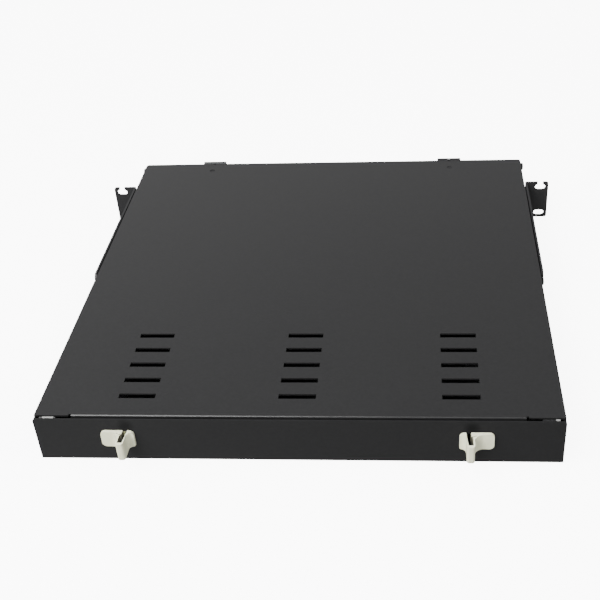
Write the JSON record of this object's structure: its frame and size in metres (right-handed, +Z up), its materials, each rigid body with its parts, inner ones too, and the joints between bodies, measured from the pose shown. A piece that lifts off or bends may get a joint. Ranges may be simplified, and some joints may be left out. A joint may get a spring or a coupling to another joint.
{
  "type": "fiber termination box",
  "caption": "Flat rack-mount steel box with a hinged vented cover, side mounting brackets and plastic rear latches, for splicing and patching optical fibre.",
  "frame": {"origin": "middle of the bottom of the whole object's box, on the underside of the case floor", "axes": "+X to the right when the rear wall with the latches is faced, +Y from the rear wall to the front panel with the adapters, +Z up"},
  "size_m": [0.4826, 0.484, 0.0447],
  "materials": {
    "case_black": "fine satin black powder coat on folded steel",
    "cover_black": "fine satin black powder coat on flat steel",
    "bracket_black": "satin black powder coat on steel",
    "hinge_black": "smooth semi-gloss black coat on steel",
    "black_rivet": "satin black",
    "black_screw": "black oxide, low sheen",
    "latch_nylon": "natural ivory nylon, slightly translucent, satin",
    "adapter_blue": "moulded blue plastic, satin",
    "cap_white": "soft off-white plastic",
    "spring_steel": "bright spring steel",
    "zinc_sheet": "zinc plated sheet",
    "zinc_screw": "zinc plated",
    "tray_plastic": "moulded light grey plastic",
    "spool_plastic": "moulded black plastic",
    "holder_rubber": "soft dark grey rubber",
    "clear_plastic": "clear plastic sheet",
    "grommet_rubber": "matt black rubber",
    "brass": "turned brass"
  },
  "bodies": {
    "case": {"adapter_01": "adapter_blue", "adapter_02": "adapter_blue", "adapter_03": "adapter_blue", "adapter_04": "adapter_blue", "adapter_05": "adapter_blue", "adapter_06": "adapter_blue", "adapter_07": "adapter_blue", "adapter_08": "adapter_blue", "adapter_09": "adapter_blue", "adapter_10": "adapter_blue", "adapter_11": "adapter_blue", "adapter_12": "adapter_blue", "adapter_clips": "spring_steel", "anchor_screws": "zinc_screw", "bracket_screws": "black_screw", "cable_anchor_left": "zinc_sheet", "cable_anchor_right": "zinc_sheet", "cable_grommet_left_front": "grommet_rubber", "cable_grommet_left_rear": "grommet_rubber", "cable_grommet_right_front": "grommet_rubber", "cable_grommet_right_rear": "grommet_rubber", "chassis_tray": "case_black", "earth_nuts": "brass", "earth_stud": "brass", "fibre_saddles": "spool_plastic", "fibre_spool_left": "spool_plastic", "fibre_spool_right": "spool_plastic", "front_panel": "case_black", "front_panel_screws": "black_screw", "hinge_case_leaf_left": "hinge_black", "hinge_case_leaf_right": "hinge_black", "hinge_case_rivets": "black_rivet", "inner_dust_caps": "cap_white", "outer_dust_caps": "cap_white", "rack_bracket_left": "bracket_black", "rack_bracket_right": "bracket_black", "side_rivets": "black_rivet", "splice_holder_lower": "holder_rubber", "splice_holder_upper": "holder_rubber", "splice_tray_cover": "clear_plastic", "splice_tray_lower": "tray_plastic", "splice_tray_upper": "tray_plastic", "tray_pillars": "brass", "tray_thumb_nuts": "brass"},
    "cover": {"top_cover": "cover_black", "hinge_cover_leaf_left": "hinge_black", "hinge_cover_leaf_right": "hinge_black", "hinge_cover_rivets": "black_rivet", "hinge_pin_left": "hinge_black", "hinge_pin_right": "hinge_black"},
    "latch_left": {"cover_latch_left": "latch_nylon"},
    "latch_right": {"cover_latch_right": "latch_nylon"}
  },
  "joints": [
    {"name": "cover_hinge", "type": "hinge", "parent": "case", "child": "cover", "pos_m": [0, 0.22465, 0.0423], "axis": [-1, 0, 0], "range_deg": [0, 105]},
    {"name": "latch_left_slide", "type": "slide", "parent": "case", "child": "latch_left", "axis": [0, -1, 0], "range_m": [0, 0.004]},
    {"name": "latch_right_slide", "type": "slide", "parent": "case", "child": "latch_right", "axis": [0, -1, 0], "range_m": [0, 0.004]}
  ]
}
